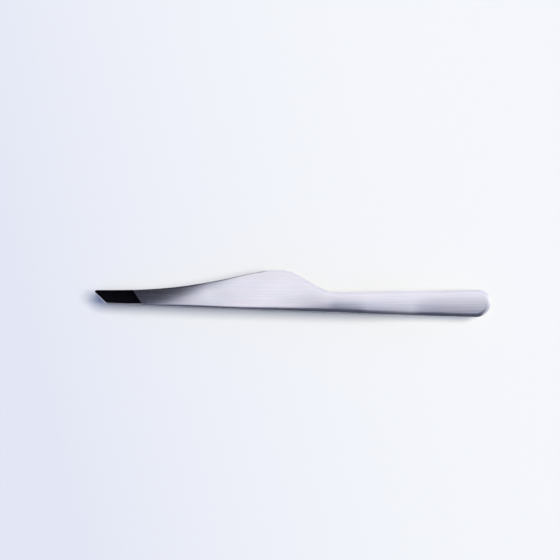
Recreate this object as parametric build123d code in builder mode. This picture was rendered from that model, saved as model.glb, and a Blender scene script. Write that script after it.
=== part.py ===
from build123d import *
import os
from math import cos, radians, tan

os.makedirs("parts", exist_ok=True)

# Slant tweezers: two mirror-image stamped strips of spring steel, one above the other, spot
# welded face to face at the tail. Millimetres. +X runs along the tweezers towards the welded
# tail, +Y towards the finger rest's bump, +Z up through both arms. The tweezers lie on the
# lower arm, whose crest touches z = 0, and the origin is under the middle of the whole.

# ---- driving dimensions --------------------------------------------------------------------
length = 96.0
tail_x = length / 2
tip_x = -length / 2

# Thickness of one strip, and the clear height between an arm's inner face and the middle
# plane, which the two arms are mirrored in.
tail_thickness = 1.25
blade_thickness = 1.1
crest_inner_height = 4.1
middle_z = crest_inner_height + blade_thickness

# Side view of one arm, from the tail to the tip: flat weld, rise, crest, fall, gripping land.
rise_start_x = 32.2
rise_angle = 12.0
rise_start_bend = 36.0
rise_end_bend = 46.0
fall_start_x = -29.0
fall_bend = 200.0
land_start_x = -43.6
land_bend = 30.0
stock_end_x = -39.9
stock_bend = 20.0

# The arm springs about this point of its centreline. Closing by this angle brings the two
# gripping lands parallel, this far each from the middle plane.
pivot_x = 29.0
pivot_height = 1.28
closing_angle = 2.3
land_clearance = 0.025

# The stretch of each strip that bends: the blade lies beyond it and the weld behind it.
flexure_tip_end_x = 22.0
flexure_tail_end_x = 36.0

# Outline seen from above. The upper edge carries the finger rest, the lower edge is nearly
# straight, and both corners of the tail are well rounded.
upper_edge_y = 0.88
sweep_corner_x = -28.44
bump_left_x = -5.4
bump_left_y = 5.81
bump_right_x = -0.5
bump_right_y = 5.45
valley_x = 8.35
valley_y = 0.22
tail_upper_y = 1.16
tail_lower_y = -5.72
lower_bow_x = 18.0
lower_bow_y = -4.87
tip_lower_y = -2.42
lower_edge_at_tip_x = -45.1

upper_sweep_radius = 126.0
bump_left_radius = 14.0
bump_right_radius = 9.0
valley_radius = 11.0
tail_upper_radius = 2.9
tail_lower_radius = 3.6
lower_bow_radius = 1000.0

# The tip: cut off at a slant, and ground outside to a facet that leaves a thin edge.
slant_angle = 44.0
tip_point_radius = 0.45
tip_heel_radius = 0.3
tip_thickness = 0.25
facet_start_x = -37.95
facet_start_y = -0.86
facet_skew = 56.0

# Rounding of the strips' long edges, outside and inside.
outer_edge_radius = 0.6
inner_edge_radius = 0.15

# Spot welds between the tails.
weld_radius = 1.3
weld_depth = 0.55
weld_first_x = 39.5
weld_spacing = 4.5
weld_y = -2.25

# Stock that the outline, the slant and the facet are cut from, and how far back along the
# upper edge the slant's cut begins.
overrun = 4.0
slant_run_in = 1.0
stock_half_width = 9.0
stock_height = 20.0

# ---- worked out from them ------------------------------------------------------------------
rise_slope = tan(radians(rise_angle))
crest_start_x = rise_start_x - crest_inner_height / rise_slope


def land_height(x):
    """Height of the open gripping land above the middle plane."""
    closing = radians(closing_angle)
    at_pivot = pivot_height + (land_clearance - pivot_height) / cos(closing)
    return at_pivot + (pivot_x - x) * tan(closing)


fall_slope = (crest_inner_height - land_height(land_start_x)) / (fall_start_x - land_start_x)


def fall_height(x):
    """Height of the outer face above the middle plane where the arm falls to the tip."""
    return crest_inner_height + blade_thickness - (fall_start_x - x) * fall_slope


# A strip's outer face is its inner face moved outward, so each corner of its side view
# moves along by the thickness times the tangent of half the turn there.
outer_shift = tan(radians(rise_angle / 2))

inner_corners = [
    (tail_x + overrun, 0),
    (rise_start_x, 0),
    (crest_start_x, crest_inner_height),
    (fall_start_x, crest_inner_height),
    (land_start_x, land_height(land_start_x)),
    (tip_x - overrun, land_height(tip_x - overrun)),
]
outer_corners = [
    (tail_x + overrun, tail_thickness),
    (rise_start_x + tail_thickness * outer_shift, tail_thickness),
    (crest_start_x + blade_thickness * outer_shift, crest_inner_height + blade_thickness),
    (fall_start_x, crest_inner_height + blade_thickness),
    (stock_end_x, fall_height(stock_end_x)),
    (tip_x - overrun, fall_height(stock_end_x)),
]
inner_bends = [rise_start_bend, rise_end_bend, fall_bend, land_bend]
outer_bends = [
    rise_start_bend - tail_thickness,
    rise_end_bend + blade_thickness,
    fall_bend + blade_thickness,
    stock_bend,
]

outline_corners = [
    (tip_x - overrun, upper_edge_y),
    (sweep_corner_x, upper_edge_y),
    (bump_left_x, bump_left_y),
    (bump_right_x, bump_right_y),
    (valley_x, valley_y),
    (tail_x, tail_upper_y),
    (tail_x, tail_lower_y),
    (lower_bow_x, lower_bow_y),
    (lower_edge_at_tip_x, tip_lower_y),
    (tip_x - overrun, tip_lower_y),
]
outline_radii = [
    upper_sweep_radius,
    bump_left_radius,
    bump_right_radius,
    valley_radius,
    tail_upper_radius,
    tail_lower_radius,
    lower_bow_radius,
    0,
]

# The slanted edge runs from the point to the heel. Its corners stand out beyond their
# rounding, so that the rounded point ends at the tip.
slant = radians(slant_angle)
point_x = tip_x + tip_point_radius - tip_point_radius / tan(slant / 2)
heel_x = point_x + (upper_edge_y - tip_lower_y) / tan(slant)
slant_corners = [
    (tip_x + slant_run_in, upper_edge_y),
    (point_x, upper_edge_y),
    (heel_x, tip_lower_y),
    (lower_edge_at_tip_x, tip_lower_y),
]
waste_end_x = tip_x - overrun - slant_run_in
waste_corners = [
    (lower_edge_at_tip_x, -stock_half_width),
    (waste_end_x, -stock_half_width),
    (waste_end_x, stock_half_width),
    (tip_x + slant_run_in, stock_half_width),
]

# The facet's plane holds the slanted edge's middle, at the tip's thickness, and the line
# across the outer face where grinding began.
edge_middle_x = (point_x + heel_x) / 2
edge_middle_y = (upper_edge_y + tip_lower_y) / 2
facet_tip = Vector(edge_middle_x, edge_middle_y, land_height(edge_middle_x) + tip_thickness)
facet_start = Vector(facet_start_x, facet_start_y, fall_height(facet_start_x))
facet_side_x = facet_start_x - 1 / tan(radians(facet_skew))
facet_side = Vector(facet_side_x, facet_start_y + 1, fall_height(facet_side_x))
facet_normal = (facet_start - facet_tip).cross(facet_side - facet_tip)
facet_plane = Plane(origin=facet_tip + Vector(0, 0, middle_z), z_dir=facet_normal)


weld_centres = [(weld_first_x + turn * weld_spacing, weld_y) for turn in range(2)]


def rim(blank, outside):
    """The edges round the outer or the inner face of a blank, open at its stock end."""
    side = 1 if outside else -1
    face_edges = blank.faces().filter_by(lambda face: side * face.normal_at().Z > 0.5).edges()
    straight_across = face_edges.filter_by(Axis.Y)
    across = straight_across.filter_by(lambda edge: edge.center().X < flexure_tail_end_x)
    return [edge for edge in face_edges if edge not in across]


# ---- one whole arm, upper side -------------------------------------------------------------
with BuildPart() as arm_blank:
    with BuildSketch(Plane.XZ.shift_origin((0, 0, middle_z))):
        with BuildLine():
            inner_face = FilletPolyline(*inner_corners, radius=inner_bends)
            outer_face = FilletPolyline(*outer_corners, radius=outer_bends)
            Line(inner_face @ 0, outer_face @ 0)
            Line(inner_face @ 1, outer_face @ 1)
        make_face()
    extrude(amount=stock_half_width, both=True)
    with BuildSketch(Plane.XY.offset(middle_z - stock_height / 2)):
        with BuildLine():
            edge_line = FilletPolyline(*outline_corners, radius=outline_radii)
            Line(edge_line @ 1, edge_line @ 0)
        make_face()
    extrude(amount=stock_height, mode=Mode.INTERSECT)
    fillet(rim(arm_blank, outside=True), outer_edge_radius)
    fillet(rim(arm_blank, outside=False), inner_edge_radius)
    # Grind the facet, then cut the tip to its slant with a rounded point and heel.
    split(bisect_by=facet_plane, keep=Keep.BOTTOM)
    with BuildSketch(Plane.XY.offset(middle_z - stock_height / 2)):
        with BuildLine():
            slant_line = FilletPolyline(*slant_corners, radius=[tip_point_radius, tip_heel_radius])
            Polyline(slant_line @ 1, *waste_corners, slant_line @ 0)
        make_face()
    extrude(amount=stock_height, mode=Mode.SUBTRACT)

tip_side_of_flexure = Plane.YZ.offset(flexure_tip_end_x)
tail_side_of_flexure = Plane.YZ.offset(flexure_tail_end_x)
middle_plane = Plane.XY.offset(middle_z)

# ---- upper arm: blade, flexure and tail of one strip ---------------------------------------
with BuildPart() as upper_arm:
    add(arm_blank.part)
    split(bisect_by=tip_side_of_flexure, keep=Keep.BOTTOM)

with BuildPart() as upper_flexure:
    add(arm_blank.part)
    split(bisect_by=tip_side_of_flexure, keep=Keep.TOP)
    split(bisect_by=tail_side_of_flexure, keep=Keep.BOTTOM)

with BuildPart() as upper_tail:
    add(arm_blank.part)
    split(bisect_by=tail_side_of_flexure, keep=Keep.TOP)
    # Each weld nugget fills a pocket that it has melted into the inner face.
    with BuildSketch(middle_plane):
        with Locations(*weld_centres):
            Circle(weld_radius)
    extrude(amount=weld_depth, mode=Mode.SUBTRACT)

# ---- lower arm: the upper one mirrored in the middle plane ---------------------------------
with BuildPart() as lower_arm:
    add(upper_arm.part)
    mirror(about=middle_plane, mode=Mode.REPLACE)

with BuildPart() as lower_flexure:
    add(upper_flexure.part)
    mirror(about=middle_plane, mode=Mode.REPLACE)

with BuildPart() as lower_tail:
    add(upper_tail.part)
    mirror(about=middle_plane, mode=Mode.REPLACE)

# ---- the weld nuggets, half in each tail ---------------------------------------------------
with BuildPart() as spot_welds:
    with BuildSketch(middle_plane):
        with Locations(*weld_centres):
            Circle(weld_radius)
    extrude(amount=weld_depth, both=True)

# ---- labels and files ----------------------------------------------------------------------
upper_arm.part.label = "upper_arm"
upper_flexure.part.label = "upper_flexure"
upper_tail.part.label = "upper_tail"
lower_arm.part.label = "lower_arm"
lower_flexure.part.label = "lower_flexure"
lower_tail.part.label = "lower_tail"
spot_welds.part.label = "spot_welds"

export_step(upper_arm.part, "parts/upper_arm.step")
export_step(upper_flexure.part, "parts/upper_flexure.step")
export_step(upper_tail.part, "parts/upper_tail.step")
export_step(lower_arm.part, "parts/lower_arm.step")
export_step(lower_flexure.part, "parts/lower_flexure.step")
export_step(lower_tail.part, "parts/lower_tail.step")
export_step(spot_welds.part, "parts/spot_welds.step")
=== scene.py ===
from math import acos, ceil, cos, pi, radians, sin, tan

import bmesh
import bpy
import numpy as np
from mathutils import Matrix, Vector


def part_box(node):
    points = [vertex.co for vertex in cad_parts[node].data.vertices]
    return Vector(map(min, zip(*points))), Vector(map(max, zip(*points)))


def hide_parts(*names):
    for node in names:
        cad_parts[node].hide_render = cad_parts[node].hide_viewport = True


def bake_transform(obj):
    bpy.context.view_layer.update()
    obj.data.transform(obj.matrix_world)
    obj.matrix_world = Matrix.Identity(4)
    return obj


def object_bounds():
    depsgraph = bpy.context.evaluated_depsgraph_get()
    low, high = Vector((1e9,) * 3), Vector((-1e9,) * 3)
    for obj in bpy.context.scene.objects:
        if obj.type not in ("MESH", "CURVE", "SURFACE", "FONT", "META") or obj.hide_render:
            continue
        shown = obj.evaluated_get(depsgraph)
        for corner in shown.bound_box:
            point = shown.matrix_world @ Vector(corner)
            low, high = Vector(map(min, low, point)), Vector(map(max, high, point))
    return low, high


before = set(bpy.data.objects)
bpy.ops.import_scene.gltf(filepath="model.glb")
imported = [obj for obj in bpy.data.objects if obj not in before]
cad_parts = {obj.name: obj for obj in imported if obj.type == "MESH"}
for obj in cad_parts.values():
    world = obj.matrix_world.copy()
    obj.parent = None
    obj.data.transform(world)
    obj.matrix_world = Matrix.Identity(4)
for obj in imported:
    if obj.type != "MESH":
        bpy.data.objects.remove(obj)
cad_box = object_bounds()

MM = 0.001

# ---- the strip's design, in millimetres, in the shared frame ---------------------------------
# Heights are above the middle plane, in which the lower arm mirrors the upper one.
TIP_X = cad_box[0].x / MM
MIDDLE_Z = (cad_box[0].z + cad_box[1].z) / 2 / MM
TAIL_THICKNESS = (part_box("upper_tail")[1].z / MM) - MIDDLE_Z
BLADE_THICKNESS = 1.1
CREST_OUTER = cad_box[1].z / MM - MIDDLE_Z
CREST_INNER = CREST_OUTER - BLADE_THICKNESS

# Plan: corners of the outline and the radii that round them.
UPPER_EDGE_Y = 0.88
TIP_LOWER_Y = -2.42
SLANT = radians(44)
POINT_RADIUS = 0.45
HEEL_RADIUS = 0.3
POINT_X = TIP_X + POINT_RADIUS - POINT_RADIUS / tan(SLANT / 2)
HEEL_X = POINT_X + (UPPER_EDGE_Y - TIP_LOWER_Y) / tan(SLANT)
POINT = (POINT_X, UPPER_EDGE_Y)
HEEL = (HEEL_X, TIP_LOWER_Y)
TAIL_X = -TIP_X
TAIL_UPPER = (TAIL_X, 1.16)
TAIL_MIDDLE = (TAIL_X, -1.93)
TAIL_LOWER = (TAIL_X, -5.72)
UPPER_CORNERS = [(-28.44, UPPER_EDGE_Y), (-5.4, 5.81), (-0.5, 5.45), (8.35, 0.22)]
UPPER_RADII = [126, 14, 9, 11]
LOWER_CORNERS = [(-45.1, TIP_LOWER_Y), (18, -4.87)]
LOWER_RADII = [3, 1000]
TAIL_UPPER_RADIUS = 2.9
TAIL_LOWER_RADIUS = 3.6

# Side view: flat weld, rise, crest, fall, and the land that the closed tips grip with.
PIVOT_X = 29.0
PIVOT_HEIGHT = 1.28
CLOSING = radians(2.3)
LAND_CLEARANCE = 0.025
LAND_START_X = -43.6
FALL_START_X = -29.0
RISE_START_X = 32.2
RISE = radians(12)
OVERRUN = 4.0

# Radii of the inner face's bends, from the tip to the tail.
LAND_BEND = 30
FALL_BEND = 200
CREST_BEND = 46
RISE_BEND = 36

# Finish of the strip. Its outer edges are tumbled: a broad soft roll leads to a small round
# that turns into the side. Rolls are given by the width they take up, seen from above.
UPPER_ROLL_WIDTHS = ((-40, -28, -21, -10, -3, 4), (0.25, 0.6, 0.2, 0.12, 0.9, 1.0))
LOWER_ROLL_WIDTHS = ((-40, -28, -12, -3, 4), (0.25, 0.6, 0.65, 0.9, 1.0))
INNER_ROLL_WIDTHS = ((-46, -38), (0.02, 0.15))
ROLL_TILT = radians(36)
SMALL_ROUND = 0.06

# Crown of the outer face: its depth half a width away from its ridge, and where the ridge
# lies, from 0 in the middle to 1 at the upper edge. The blade's crown turns into the handle's
# between two X, and into the fall's between two distances on the tip's side of X = 0.
HANDLE_CROWN = 0.2
HANDLE_RIDGE = 0.45
HANDLE_BLEND = (-9, 10)
BLADE_CROWN = 0.03
FALL_CROWN = 0.16
FALL_BLEND = (12, 26)

# The facet ground on the tip, and the fine bevel that breaks its slanted edge. Points this
# near the line where the facet starts still lie on it: SLACK for its height, REACH for its
# finish.
TIP_THICKNESS = 0.36
TIP_EDGE = 0.03
BEVEL_WIDTH = 0.2
FACET_MIDDLE = (-37.55, -0.86)
FACET_SKEW = radians(56)
BORDER_SLACK = 1e-6
BORDER_REACH = 1e-3

# Mesh density: rungs from tip to tail, and points across them. The rungs near the tip lie
# parallel to the slanted edge as far back as its rounded corners reach.
TIP_ROUND_REACH = 0.8
SMALL_ROUND_STEPS = 3
ROLL_STEPS = 7
ACROSS_STEPS = 18
BEVEL_RUNGS = 6
TIP_ROUND_RUNGS = 10
FACET_RUNGS = 80
FALL_RUNGS = 40
BODY_START_X = -30.0
BODY_END_X = 43.5
BODY_STEP = 0.3
TAIL_RUNGS = 36
EDGE_STEP = 0.02

# A roll's points follow its rung near the tip and stand square to the edge behind it. Where
# the two differ, the roll stretches, but only as far as this cosine allows.
SQUARE_BLEND = (-34, -26)
LEAST_SQUARE = 0.3

# Points closer than this are one, and faces that meet at more than this angle keep their edge.
MERGE_DISTANCE = 0.0003
CREASE = radians(30)

# How the materials are laid out: the arms' grains are taken this far to either side of the
# strip, the direction map is this much larger than life, and a face counts as rolled above
# this share.
GRAIN_SHIFT = 31.7
MAP_SCALE = 10
ROLLED_SHARE = 0.02


def smooth(value, low, high):
    """0 below low, 1 above high, and an even S between them."""
    t = np.clip((value - low) / (high - low), 0, 1)
    return t * t * (3 - 2 * t)


def unit(vectors):
    return vectors / np.maximum(np.linalg.norm(vectors, axis=-1, keepdims=True), 1e-12)


# ---- lines with rounded corners ----------------------------------------------------------------
def rounded(corners, radii, longest=0.3, sharpest=radians(4)):
    """Points of a line through the corners, with each inner corner rounded to its radius."""
    corners = np.array(corners, float)
    points = [corners[0]]
    for before, corner, after, radius in zip(corners, corners[1:], corners[2:], radii):
        back, on = unit(before - corner), unit(after - corner)
        turn = pi - acos(np.clip(back @ on, -1, 1))
        centre = corner + unit(back + on) * radius / cos(turn / 2)
        arm = corner + back * radius * tan(turn / 2) - centre
        side = np.sign(back[1] * on[0] - back[0] * on[1])
        count = ceil(max(turn / sharpest, turn * radius / longest, 2))
        for angle in np.linspace(0, turn, count + 1) * side:
            spun = (arm[0] * cos(angle) - arm[1] * sin(angle),
                    arm[0] * sin(angle) + arm[1] * cos(angle))
            points.append(centre + spun)
    points.append(corners[-1])
    return np.array(points)


class Edge:
    """One long edge of the outline, from the slanted cut at the tip to the middle of the tail."""

    def __init__(self, points, side):
        self.points = points
        self.side = side
        steps = np.linalg.norm(np.diff(points, axis=0), axis=1)
        self.lengths = np.concatenate([[0], np.cumsum(steps)])
        self.end = self.lengths[-1]

    def at(self, s):
        return np.stack([np.interp(s, self.lengths, self.points[:, i]) for i in (0, 1)], -1)

    def outward(self, s, h=EDGE_STEP):
        ahead = self.at(np.minimum(s + h, self.end)) - self.at(np.maximum(s - h, 0))
        return unit(np.stack([-ahead[:, 1], ahead[:, 0]], -1)) * self.side

    def length_where(self, measure):
        """The distance along the edge at which measure, which grows along it, passes 0."""
        s = np.arange(0, self.end, EDGE_STEP)
        return float(np.interp(0, measure(self.at(s)), s))


upper_edge = Edge(
    rounded([HEEL, POINT, *UPPER_CORNERS, TAIL_UPPER, TAIL_MIDDLE],
            [POINT_RADIUS, *UPPER_RADII, TAIL_UPPER_RADIUS])[1:], 1)
lower_edge = Edge(
    rounded([POINT, HEEL, *LOWER_CORNERS, TAIL_LOWER, TAIL_MIDDLE],
            [HEEL_RADIUS, *LOWER_RADII, TAIL_LOWER_RADIUS])[1:], -1)
upper_line = rounded([POINT, *UPPER_CORNERS, TAIL_UPPER], UPPER_RADII)
lower_line = rounded([(POINT_X, TIP_LOWER_Y), *LOWER_CORNERS, TAIL_LOWER], LOWER_RADII)


# ---- heights of the strip's faces above the middle plane ---------------------------------------
def land_height(x):
    """Height of the open gripping land: flat and just clear of the other once the arm closes."""
    at_pivot = PIVOT_HEIGHT + (LAND_CLEARANCE - PIVOT_HEIGHT) / cos(CLOSING)
    return at_pivot + (PIVOT_X - x) * tan(CLOSING)


CREST_START_X = RISE_START_X - CREST_INNER / tan(RISE)
FALL_SLOPE = (CREST_INNER - land_height(LAND_START_X)) / (FALL_START_X - LAND_START_X)
OUTER_SHIFT = tan(RISE / 2)
FRONT_X = TIP_X - OVERRUN
BACK_X = TAIL_X + OVERRUN
inner_line = rounded(
    [(FRONT_X, land_height(FRONT_X)), (LAND_START_X, land_height(LAND_START_X)),
     (FALL_START_X, CREST_INNER), (CREST_START_X, CREST_INNER), (RISE_START_X, 0), (BACK_X, 0)],
    [LAND_BEND, FALL_BEND, CREST_BEND, RISE_BEND])
outer_line = rounded(
    [(FRONT_X, CREST_OUTER - (FALL_START_X - FRONT_X) * FALL_SLOPE), (FALL_START_X, CREST_OUTER),
     (CREST_START_X + BLADE_THICKNESS * OUTER_SHIFT, CREST_OUTER),
     (RISE_START_X + TAIL_THICKNESS * OUTER_SHIFT, TAIL_THICKNESS), (BACK_X, TAIL_THICKNESS)],
    [FALL_BEND + BLADE_THICKNESS, CREST_BEND + BLADE_THICKNESS, RISE_BEND - TAIL_THICKNESS])


def along(line, x):
    return np.interp(x, line[:, 0], line[:, 1])


def behind_slant(p):
    """Distance from the slanted edge, inward."""
    return (p - np.array(POINT)) @ np.array([sin(SLANT), cos(SLANT)])


def before_facet(p):
    """Distance from the line where the facet starts, towards the tail."""
    return (p - np.array(FACET_MIDDLE)) @ np.array([sin(FACET_SKEW), cos(FACET_SKEW)])


def crowned_height(p):
    """The outer face, highest along its ridge."""
    x, y = p[..., 0], p[..., 1]
    top, bottom = along(upper_line, x), along(lower_line, x)
    handle = smooth(x, *HANDLE_BLEND)
    across = (2 * y - top - bottom) / (top - bottom) - HANDLE_RIDGE * handle
    crown = BLADE_CROWN + (HANDLE_CROWN - BLADE_CROWN) * handle
    crown = crown + (FALL_CROWN - BLADE_CROWN) * smooth(-x, *FALL_BLEND)
    return along(outer_line, x) - crown * across**2


def facet_height(p):
    """A ground face, straight along X from the slanted edge to the line where the facet starts."""
    x, y = p[..., 0], p[..., 1]
    edge_x = POINT_X + (UPPER_EDGE_Y - y) / tan(SLANT)
    start_x = FACET_MIDDLE[0] - (y - FACET_MIDDLE[1]) / tan(FACET_SKEW)
    share = (x - edge_x) / (start_x - edge_x)
    start_height = crowned_height(np.stack([start_x, y], -1))
    ground = (1 - share) * (land_height(edge_x) + TIP_THICKNESS) + share * start_height
    return np.where(before_facet(p) < BORDER_SLACK, ground, np.inf)


BROAD_ROUND = (1 - SMALL_ROUND * (1 - sin(ROLL_TILT))) / sin(ROLL_TILT)
SMALL_CENTRE = BROAD_ROUND * (1 - cos(ROLL_TILT)) + SMALL_ROUND * cos(ROLL_TILT)
SMALL_SHARE = SMALL_ROUND * (1 - sin(ROLL_TILT))


def roll_shares():
    """Where points lie across a roll, as shares of its width, even in slope."""
    turned = np.linspace(pi / 2, ROLL_TILT, SMALL_ROUND_STEPS + 1)[:-1]
    broad = np.linspace(ROLL_TILT, 0, ROLL_STEPS + 1)
    return np.concatenate([SMALL_ROUND * (1 - np.sin(turned)), 1 - BROAD_ROUND * np.sin(broad)])


def roll_drop(share):
    """Depth of a roll one unit wide below the face it starts from."""
    small = np.clip(1 - share / SMALL_ROUND, 0, 1)
    broad = np.clip((1 - share) / BROAD_ROUND, 0, 1)
    return np.where(share < SMALL_SHARE, SMALL_CENTRE - SMALL_ROUND * np.sqrt(1 - small**2),
                    BROAD_ROUND * (1 - np.sqrt(1 - broad**2)))


# ---- the ladder of rungs from the slanted edge to the tail --------------------------------------
def rung_ends():
    """Matching distances along the upper and the lower edge, one pair for each rung."""
    def both(measure):
        return np.array([edge.length_where(measure) for edge in (upper_edge, lower_edge)])

    def reach(x):
        return both(lambda p: np.maximum.accumulate(p[:, 0]) - x)

    ends = [np.zeros((1, 2))]

    def climb(stop, count):
        start = ends[-1][-1]
        ends.append(start + (stop - start) * np.linspace(0, 1, count + 1)[1:, None])

    climb(both(lambda p: behind_slant(p) - BEVEL_WIDTH), BEVEL_RUNGS)
    climb(both(lambda p: behind_slant(p) - TIP_ROUND_REACH), TIP_ROUND_RUNGS)
    climb(both(before_facet), FACET_RUNGS)
    climb(reach(BODY_START_X), FALL_RUNGS)
    for x in np.arange(BODY_START_X + BODY_STEP, BODY_END_X, BODY_STEP):
        climb(reach(x), 1)
    climb(np.array([upper_edge.end, lower_edge.end]), TAIL_RUNGS)
    return np.concatenate(ends)


def face_columns(ends, upper_widths, lower_widths):
    """Plan points of one face, rung by rung, how far each lies across its roll, and its drop."""
    up, low = upper_edge.at(ends[:, 0]), lower_edge.at(ends[:, 1])
    middle_x = (up[:, 0] + low[:, 0]) / 2
    skewed = 1 - smooth(middle_x, *SQUARE_BLEND)
    rolls, drops = [], []
    for start, stop, outward, widths in (
            (up, low, upper_edge.outward(ends[:, 0]), upper_widths),
            (low, up, lower_edge.outward(ends[:, 1]), lower_widths)):
        ahead = unit(stop - start) * skewed[:, None]
        inward = unit(ahead - outward * (1 - skewed[:, None]) + 1e-9)
        square = np.clip(-(inward * outward).sum(1), LEAST_SQUARE, 1)
        width = np.interp(start[:, 0], *widths)[:, None]
        reach = width * roll_shares() / square[:, None]
        rolls.append(start[:, None] + inward[:, None] * reach[..., None])
        drops.append(width * roll_drop(roll_shares()))
    up_points, low_points = rolls
    share = np.linspace(0, 1, ACROSS_STEPS + 1)[1:-1, None]
    span = up_points[:, -1:] * (1 - share) + low_points[:, -1:] * share
    points = np.concatenate([up_points, span, low_points[:, ::-1]], 1)
    across = np.concatenate([roll_shares(), np.ones(len(share)), roll_shares()[::-1]])
    drop = np.concatenate([drops[0], np.zeros(span.shape[:2]), drops[1][:, ::-1]], 1)
    return points, np.broadcast_to(across, points.shape[:2]), drop


def arm_arrays():
    """Vertices of one whole arm above the middle plane, with what the materials read."""
    ends = rung_ends()
    top, top_share, top_drop = face_columns(ends, UPPER_ROLL_WIDTHS, LOWER_ROLL_WIDTHS)
    bottom, bottom_share, bottom_drop = face_columns(ends, INNER_ROLL_WIDTHS, INNER_ROLL_WIDTHS)
    top_z = np.minimum(crowned_height(top), facet_height(top)) - top_drop
    edge_z = land_height(top[0, :, 0]) + TIP_EDGE
    up_bevel = behind_slant(top[:BEVEL_RUNGS]) / BEVEL_WIDTH
    top_z[:BEVEL_RUNGS] = edge_z + (top_z[BEVEL_RUNGS] - edge_z) * up_bevel
    bottom_z = along(inner_line, bottom[..., 0]) + bottom_drop
    points = np.stack([np.concatenate([top, top_z[..., None]], -1),
                       np.concatenate([bottom, bottom_z[..., None]], -1)])
    rim = 1 - np.stack([top_share, bottom_share])
    ground = before_facet(top) < BORDER_REACH
    bevel = np.broadcast_to(np.arange(len(top))[:, None] < BEVEL_RUNGS, ground.shape)
    return points, rim, ground, bevel


def arm_faces(rungs, columns):
    """Quads over both faces, round the sides and over the slanted end, with each one's kind."""
    index = np.arange(2 * rungs * columns).reshape(2, rungs, columns)
    faces, kinds = [], []

    def sheet(grid, kind):
        quads = np.stack([grid[:-1, :-1], grid[1:, :-1], grid[1:, 1:], grid[:-1, 1:]], -1)
        faces.extend(quads.reshape(-1, 4).tolist())
        kinds.extend([kind] * (quads.size // 4))

    sheet(index[0], "outer")
    sheet(index[1, :, ::-1], "inner")
    sheet(np.stack([index[1, :, 0], index[0, :, 0]], -1), "side")
    sheet(np.stack([index[0, :, -1], index[1, :, -1]], -1), "side")
    sheet(np.stack([index[1, 0], index[0, 0]], 0), "end")
    return faces, kinds


# Material slots: brushed steel, the facet with its painted dark reflection, and satin steel.
BRUSHED, PAINTED_DARK_FACET, SATIN = range(3)


def make_arm(name, side, materials):
    """One arm as a single closed skin: side 1 is the upper arm, -1 its mirror image below."""
    points, rim, ground, bevel = arm_arrays()
    rungs, columns = points.shape[1:3]
    faces, kinds = arm_faces(rungs, columns)
    flat = points.reshape(-1, 3)
    placed = np.stack([flat[:, 0], flat[:, 1], MIDDLE_Z + side * flat[:, 2]], -1) * MM
    mesh = bpy.data.meshes.new(name)
    mesh.from_pydata(placed.tolist(), [], faces)

    # The grain runs along the strip, so its pattern is laid out on the unbent strip.
    depth = flat[:, 2] - along(outer_line, flat[:, 0])
    grain = np.stack([flat[:, 0], flat[:, 1] + GRAIN_SHIFT * side, depth], -1) * MM
    mesh.attributes.new("grain", "FLOAT_VECTOR", "POINT").data.foreach_set(
        "vector", grain.astype(np.float32).ravel())
    mesh.attributes.new("rim", "FLOAT", "POINT").data.foreach_set(
        "value", rim.astype(np.float32).ravel())

    # Its direction comes from a map with V along the strip and U round the section.
    steps = np.linalg.norm(np.diff(points, axis=2), axis=-1)
    round_section = np.concatenate([np.zeros((2, rungs, 1)), np.cumsum(steps, 2)], 2)
    around = (round_section * np.array([1, -1])[:, None, None]).ravel()
    map_uv = np.stack([around, flat[:, 0]], -1) * MM * MAP_SCALE
    layer = mesh.uv_layers.new(name="strip")
    corners = np.zeros(len(mesh.loops), np.int32)
    mesh.loops.foreach_get("vertex_index", corners)
    layer.data.foreach_set("uv", map_uv[corners].astype(np.float32).ravel())

    is_ground, is_bevel = (np.concatenate([made.ravel(), np.zeros(made.size, bool)])
                           for made in (ground, bevel))
    lower_half = np.arange(columns) > columns / 2
    is_rolled = ((rim > ROLLED_SHARE) & lower_half).ravel()
    slots = []
    # Faces wholly on the facet take its painted dark reflection, all but its rolled lower rim.
    for face, kind in zip(faces, kinds):
        if kind == "inner" or (kind == "outer" and is_bevel[face].any()):
            slots.append(SATIN)
        elif kind == "outer" and is_ground[face].all():
            slots.append(SATIN if is_rolled[face].any() else PAINTED_DARK_FACET)
        else:
            slots.append(BRUSHED)
    mesh.polygons.foreach_set("material_index", slots)
    for material in materials:
        mesh.materials.append(material)

    work = bmesh.new()
    work.from_mesh(mesh)
    bmesh.ops.remove_doubles(work, verts=work.verts, dist=MERGE_DISTANCE * MM)
    bmesh.ops.recalc_face_normals(work, faces=work.faces)
    for face in work.faces:
        face.smooth = True
    for edge in work.edges:
        meets = {face.material_index for face in edge.link_faces}
        edge.smooth = len(meets) == 1 and edge.calc_face_angle(0) < CREASE
    open_edges = sum(not edge.is_manifold for edge in work.edges)
    work.to_mesh(mesh)
    work.free()
    print(name, "vertices", len(mesh.vertices), "faces", len(mesh.polygons), "open", open_edges)
    arm = bpy.data.objects.new(name, mesh)
    bpy.context.scene.collection.objects.link(arm)
    return arm


# ---- materials -----------------------------------------------------------------------------------
# How often each pattern changes in a metre: along the strip, across it and through it.
FINE_GRAIN = (60, 9000, 9000)
STREAKS = (45, 2600, 2600)
CLOUDS = (90, 260, 260)
TINTS = (70, 400, 400)
GRINDING_LINES = (1200, 9000, 400)
SMEARS = (300, 700, 300)
GRIT = (9000, 9000, 9000)
ROLLING_LINES = (80, 3000, 3000)
WELD_CELLS = (4000, 4000, 4000)

# The middle stretch of a noise's values, which is spread over the whole of what it drives.
NOISE_SPREAD = (0.3, 0.7)
TINT_SPREAD = (0.35, 0.65)

# Colours, warm then cool for brushed steel and dark then light for the rest.
STEEL_DARK = ((0.645, 0.632, 0.632, 1), (0.625, 0.632, 0.648, 1))
STEEL_LIGHT = ((0.83, 0.81, 0.805, 1), (0.80, 0.81, 0.83, 1))
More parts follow.
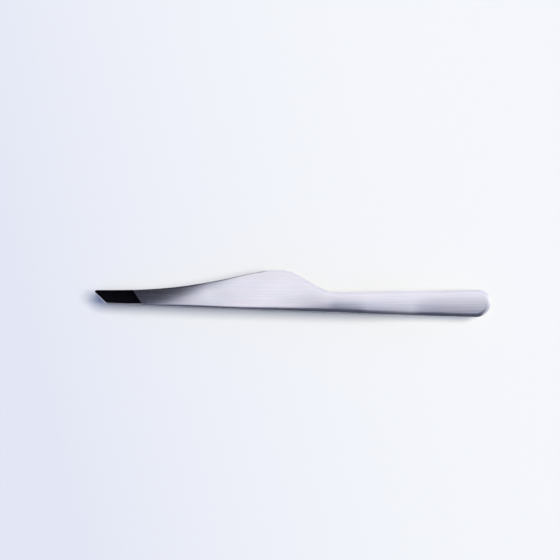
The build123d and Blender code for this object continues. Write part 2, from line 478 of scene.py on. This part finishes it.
# The facet's near-black colours are a painted dark reflection: the dark room that the polished facet
# mirrors, fixed into its colour.
FACET_PAINTED_REFLECTION_COLORS = ((0.035, 0.03, 0.04, 1), (0.06, 0.055, 0.065, 1))
SATIN_COLORS = ((0.50, 0.50, 0.51, 1), (0.64, 0.64, 0.65, 1))
WELD_COLORS = ((0.30, 0.29, 0.30, 1), (0.46, 0.44, 0.42, 1))

# Roughness of each finish, from its smoothest to its roughest part. On brushed steel, the
# clouds add to it or take from it, and the rounded edges take a little off.
STEEL_ROUGH = (0.15, 0.24)
CLOUD_ROUGH = (-0.02, 0.02)
RIM_SMOOTHER = 0.03
ANISOTROPY = 0.85
FACET_ROUGH = (0.08, 0.16)
SATIN_ROUGH = (0.36, 0.48)
WELD_ROUGH = (0.45, 0.65)

# Strength of each bump, and its height in metres.
STEEL_BUMP = (0.25, 0.00001)
FACET_BUMP = (0.1, 0.000005)
SATIN_BUMP = (0.3, 0.00001)
WELD_BUMP = (0.4, 0.00003)


class Nodes:
    """A node tree, with short calls that make and join its nodes."""

    def __init__(self, tree):
        self.tree = tree

    def join(self, value, socket):
        if isinstance(value, bpy.types.NodeSocket):
            self.tree.links.new(value, socket)
        else:
            socket.default_value = value

    def node(self, kind, inputs=(), **settings):
        made = self.tree.nodes.new("ShaderNode" + kind)
        for name, value in settings.items():
            setattr(made, name, value)
        for name, value in dict(inputs).items():
            self.join(value, made.inputs[name])
        return made

    def math(self, operation, a, b=0.0):
        return self.node("Math", {0: a, 1: b}, operation=operation).outputs[0]

    def half_and_half(self, a, b):
        return self.math("ADD", self.math("MULTIPLY", a, 0.5), self.math("MULTIPLY", b, 0.5))

    def ramp(self, value, from_range, to_range, **settings):
        made = self.node("MapRange", {
            "Value": value, "From Min": from_range[0], "From Max": from_range[1],
            "To Min": to_range[0], "To Max": to_range[1]}, **settings)
        return made.outputs[0]

    def spread(self, noise, to_range=(0.0, 1.0)):
        return self.ramp(noise, NOISE_SPREAD, to_range)

    def rise(self, value, slope):
        return self.ramp(value, slope, (0.0, 1.0), interpolation_type="SMOOTHSTEP")

    def attribute(self, name, output="Fac"):
        return self.node("Attribute", attribute_name=name).outputs[output]

    def noise(self, place, scale, detail=2.0, roughness=0.5):
        made = self.node("TexNoise", {
            "Vector": place, "Scale": scale, "Detail": detail, "Roughness": roughness})
        return made.outputs["Fac"]

    def pattern(self, place, scales, detail=2.0, roughness=0.5):
        """Noise stretched by its own scale along each axis."""
        stretched = self.node("VectorMath", {0: place, 1: scales}, operation="MULTIPLY").outputs[0]
        return self.noise(stretched, 1.0, detail, roughness)

    def bump(self, height, strength, distance):
        made = self.node("Bump", {"Height": height, "Strength": strength, "Distance": distance})
        return made.outputs[0]

    def mix_color(self, share, first, second):
        return self.node("Mix", {"Factor": share, 6: first, 7: second}, data_type="RGBA").outputs[2]

    def background(self, color, strength=1.0):
        return self.node("Background", {"Color": color, "Strength": strength}).outputs[0]

    def add_shaders(self, first, second):
        return self.node("AddShader", {0: first, 1: second}).outputs[0]

    def mix_shaders(self, share, first, second):
        return self.node("MixShader", {0: share, 1: first, 2: second}).outputs[0]


class MaterialNodes(Nodes):
    """The node tree of a new material."""

    def __init__(self, name):
        self.material = bpy.data.materials.new(name)
        self.material.use_nodes = True
        super().__init__(self.material.node_tree)
        self.shader = self.tree.nodes["Principled BSDF"]

    def finish(self, **sockets):
        for name, value in sockets.items():
            self.join(value, self.shader.inputs[name.replace("_", " ")])
        return self.material


def brushed_steel():
    """Stainless steel with a fine grain along the strip, a little smoother on its rounded edges."""
    n = MaterialNodes("brushed_steel")
    grain = n.attribute("grain", "Vector")
    fine = n.pattern(grain, FINE_GRAIN, detail=3.0)
    streaks = n.pattern(grain, STREAKS, detail=4.0, roughness=0.6)
    both = n.half_and_half(fine, streaks)
    tint = n.ramp(n.pattern(grain, TINTS, detail=3.0), TINT_SPREAD, (0.0, 1.0))
    dark = n.mix_color(tint, *STEEL_DARK)
    light = n.mix_color(tint, *STEEL_LIGHT)
    base = n.mix_color(n.spread(both), dark, light)
    clouds = n.spread(n.pattern(grain, CLOUDS), CLOUD_ROUGH)
    worn = n.math("MULTIPLY", n.attribute("rim"), RIM_SMOOTHER)
    rough = n.math("SUBTRACT", n.math("ADD", n.spread(both, STEEL_ROUGH), clouds), worn)
    tangent = n.node("Tangent", direction_type="UV_MAP", uv_map="strip").outputs[0]
    return n.finish(Base_Color=base, Metallic=1.0, Roughness=rough, Anisotropic=ANISOTROPY,
                    Normal=n.bump(both, *STEEL_BUMP), Tangent=tangent)


def facet_painted_reflection():
    """The tip's facet, ground and polished, with faint grinding lines; its near-black colour is a
    painted dark reflection of the room that it mirrors.
    """
    n = MaterialNodes("facet_painted_reflection")
    grain = n.attribute("grain", "Vector")
    lines = n.pattern(grain, GRINDING_LINES, detail=3.0)
    base = n.mix_color(n.spread(lines), *FACET_PAINTED_REFLECTION_COLORS)
    rough = n.spread(n.pattern(grain, SMEARS), FACET_ROUGH)
    return n.finish(Base_Color=base, Metallic=1.0, Roughness=rough,
                    Normal=n.bump(lines, *FACET_BUMP))


def satin_steel():
    """The strip's inner face: the same steel, tumbled to an even satin with faint rolling lines."""
    n = MaterialNodes("satin_steel")
    grain = n.attribute("grain", "Vector")
    both = n.half_and_half(n.pattern(grain, GRIT), n.pattern(grain, ROLLING_LINES))
    base = n.mix_color(n.spread(both), *SATIN_COLORS)
    return n.finish(Base_Color=base, Metallic=1.0, Roughness=n.spread(both, SATIN_ROUGH),
                    Normal=n.bump(both, *SATIN_BUMP))


def weld_metal():
    """A spot weld's nugget: steel that has melted and set again, dull and slightly blued."""
    n = MaterialNodes("weld_metal")
    cells = n.pattern(n.node("TexCoord").outputs["Object"], WELD_CELLS, detail=4.0)
    base = n.mix_color(n.spread(cells), *WELD_COLORS)
    return n.finish(Base_Color=base, Metallic=1.0, Roughness=n.spread(cells, WELD_ROUGH),
                    Normal=n.bump(cells, *WELD_BUMP))


# ---- the tweezers ----------------------------------------------------------------------------------
finishes = [brushed_steel(), facet_painted_reflection(), satin_steel()]
for level, side in (("upper", 1), ("lower", -1)):
    arm = make_arm(level + "_arm_strip", side, finishes)
    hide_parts(level + "_arm", level + "_flexure", level + "_tail")
    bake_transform(arm)

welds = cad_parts["spot_welds"]
welds.data.materials.clear()
welds.data.materials.append(weld_metal())


# ---- floor, light and camera -------------------------------------------------------------------------
# The floor, in metres. Its colour changes over FLOOR_STRETCH along X, and leans a little along Y.
# The change is painted light falloff: darker and bluer towards -X and -Y, lighter towards +X.
FLOOR_HALF = 4.0
FLOOR_PAINTED_SHADE_LEFT = (0.74, 0.755, 0.82, 1)
FLOOR_PAINTED_LIGHT_RIGHT = (0.88, 0.88, 0.87, 1)
FLOOR_STRETCH = (-0.07, 0.06)
FLOOR_LEAN = 0.25
MOTTLE_SCALE = 300
MOTTLE_DEPTH = 0.004
FLOOR_ROUGH = 0.7
FLOOR_SHINE = 0.2


def make_floor():
    """A pale matt table top with painted light falloff: lighter towards +X, darker towards -X and -Y.
    """
    mesh = bpy.data.meshes.new("floor")
    mesh.from_pydata([(-FLOOR_HALF, -FLOOR_HALF, 0), (FLOOR_HALF, -FLOOR_HALF, 0),
                      (FLOOR_HALF, FLOOR_HALF, 0), (-FLOOR_HALF, FLOOR_HALF, 0)],
                     [], [(0, 1, 2, 3)])
    floor = bpy.data.objects.new("floor", mesh)
    bpy.context.scene.collection.objects.link(floor)
    n = MaterialNodes("floor_painted_falloff")
    place = n.node("TexCoord").outputs["Object"]
    x, y = n.node("SeparateXYZ", {0: place}).outputs[:2]
    mottle = n.math("SUBTRACT", n.noise(place, MOTTLE_SCALE, detail=3.0), 0.5)
    # Painted light falloff: the floor's colour darkens towards -X and -Y.
    slope = n.math("ADD", x, n.math("MULTIPLY", y, FLOOR_LEAN))
    slope = n.math("ADD", slope, n.math("MULTIPLY", mottle, MOTTLE_DEPTH))
    dark = n.ramp(slope, FLOOR_STRETCH, (1.0, 0.0))
    share = n.math("SUBTRACT", 1.0, n.math("MULTIPLY", dark, dark))
    base = n.mix_color(share, FLOOR_PAINTED_SHADE_LEFT, FLOOR_PAINTED_LIGHT_RIGHT)
    mesh.materials.append(n.finish(Base_Color=base, Roughness=FLOOR_ROUGH,
                                   Specular_IOR_Level=FLOOR_SHINE))


# The studio's dome, as steel reflects it, laid out by the direction's own X and Y. Each slope
# is where the light begins and where it is full. The big panel hangs overhead and to the
# right, and grows bluer where it fades; a window to the north lights the upper edges; the
# walls to the left and right are pale; and the rest of the room is dim and blue.
PANEL_LOWER = (-0.57, 0.08)
PANEL_LOWER_SKEW = 0.1
PANEL_CORNER_X = 0.1
PANEL_LEFT = (-0.168, -0.065)
PANEL_LEFT_SKEW = 0.27
PANEL_LEFT_SKEW_END = 0.15
PANEL_LEVEL = 1.29
PANEL_COLOR = (0.94, 0.925, 1.0, 1)
PANEL_EDGE_COLOR = (0.66, 0.69, 1.0, 1)
WINDOW_NORTH = (0.2, 0.45)
WINDOW_SKEW = 0.1
WINDOW_LEFT = (-0.1, 0.03)
NORTH_FADE = 0.14
FLARE_RIGHT = (0.75, 0.95)
FLARE_LEVEL = 0.35
ROOM_LEVEL = 0.055
ROOM_SOUTH = (0.1, 0.5)
ROOM_SOUTH_LEVEL = 0.09
ROOM_COLOR = (0.60, 0.67, 1.0, 1)
SIDES = (0.33, 0.6)
SIDE_LEVEL = 0.62
SIDE_COLOR = (0.93, 0.94, 1.0, 1)

# What lights the table besides the key: an even blue fill, which is all that its shadow gets.
FILL_COLOR = (0.50, 0.62, 1.0, 1)
FILL_LEVEL = 0.48
BACKDROP_COLOR = (0.87, 0.89, 0.95, 1)


def make_world():
    """The dome that the steel reflects, an even fill for matt surfaces, and a plain backdrop."""
    world = bpy.data.worlds.new("studio")
    bpy.context.scene.world = world
    world.use_nodes = True
    n = Nodes(world.node_tree)
    n.tree.nodes.clear()

    direction = n.node("TexCoord").outputs["Generated"]
    x, y = n.node("SeparateXYZ", {0: direction}).outputs[:2]

    # The panel and the window overhead.
    lower_side = n.math("SUBTRACT", n.math("ADD", y, n.math("MULTIPLY", x, PANEL_LOWER_SKEW)),
                        n.math("MINIMUM", x, PANEL_CORNER_X))
    leaning = n.math("MULTIPLY", n.math("MINIMUM", y, PANEL_LEFT_SKEW_END), PANEL_LEFT_SKEW)
    left_side = n.math("SUBTRACT", x, leaning)
    panel = n.math("MULTIPLY", n.rise(lower_side, PANEL_LOWER), n.rise(left_side, PANEL_LEFT))
    north = n.rise(y, WINDOW_NORTH)
    window_side = n.math("ADD", x, n.math("MULTIPLY", y, WINDOW_SKEW))
    window = n.math("MULTIPLY", north, n.rise(window_side, WINDOW_LEFT))
    fade = n.math("SUBTRACT", 1.0, n.math("MULTIPLY", north, NORTH_FADE))
    lit = n.math("MULTIPLY", n.math("MAXIMUM", panel, window), fade)
    flare = n.math("MULTIPLY", n.rise(x, FLARE_RIGHT), FLARE_LEVEL)
    level = n.math("MULTIPLY", lit, n.math("ADD", flare, PANEL_LEVEL))
    lamps = n.background(n.mix_color(lit, PANEL_EDGE_COLOR, PANEL_COLOR), level)

    # The room round them.
    southward = n.math("MULTIPLY", y, -1.0)
    south = n.math("MULTIPLY", n.rise(southward, ROOM_SOUTH), ROOM_SOUTH_LEVEL)
    room = n.background(ROOM_COLOR, n.math("ADD", south, ROOM_LEVEL))
    beside = n.math("MULTIPLY", n.rise(n.math("ABSOLUTE", x), SIDES), n.math("SUBTRACT", 1.0, lit))
    sides = n.background(SIDE_COLOR, n.math("MULTIPLY", beside, SIDE_LEVEL))
    studio = n.add_shaders(lamps, n.add_shaders(room, sides))

    path = n.node("LightPath").outputs
    fill = n.background(FILL_COLOR, FILL_LEVEL)
    reached = n.mix_shaders(path["Is Diffuse Ray"], studio, fill)
    seen = n.mix_shaders(path["Is Camera Ray"], reached, n.background(BACKDROP_COLOR))
    n.node("OutputWorld", {"Surface": seen})
    world.cycles.sampling_method = "NONE"


# The key light, and the direction that it comes from.
KEY_LEVEL = 2.72
KEY_SIZE = radians(22)
KEY_COLOR = (1.0, 0.954, 0.80)
KEY_FROM = (0.42, 0.08, 1.0)


def make_key():
    """A large soft source, high up on the right, which the steel doesn't reflect."""
    lamp = bpy.data.lights.new("key", "SUN")
    lamp.energy = KEY_LEVEL
    lamp.angle = KEY_SIZE
    lamp.color = KEY_COLOR
    key = bpy.data.objects.new("key", lamp)
    bpy.context.scene.collection.objects.link(key)
    key.visible_glossy = False
    key.rotation_euler = Vector(KEY_FROM).to_track_quat("Z", "Y").to_euler()


# The camera: its aim and the width of its frame there in millimetres, its angle above the
# table, its lens and sensor in millimetres, and how near and far it sees in metres.
CAMERA_AIM = (-3.24, 3.32, MIDDLE_Z + 3.5)
FRAME_WIDTH = 135.3
ELEVATION = radians(87.3)
LENS = 90
SENSOR_WIDTH = 36
CAMERA_REACH = (0.01, 20)


def make_camera():
    """Nearly straight above, with the bump towards the top of the frame."""
    data = bpy.data.cameras.new("camera")
    data.lens = LENS
    data.sensor_width = SENSOR_WIDTH
    data.clip_start, data.clip_end = CAMERA_REACH
    camera = bpy.data.objects.new("camera", data)
    bpy.context.scene.collection.objects.link(camera)
    distance = FRAME_WIDTH * MM * LENS / SENSOR_WIDTH
    back = Vector((0, -cos(ELEVATION), sin(ELEVATION)))
    camera.location = Vector(CAMERA_AIM) * MM + back * distance
    camera.rotation_euler = (-back).to_track_quat("-Z", "Y").to_euler()
    bpy.context.scene.camera = camera


make_floor()
make_world()
make_key()
make_camera()
bpy.context.scene.view_settings.view_transform = "Standard"
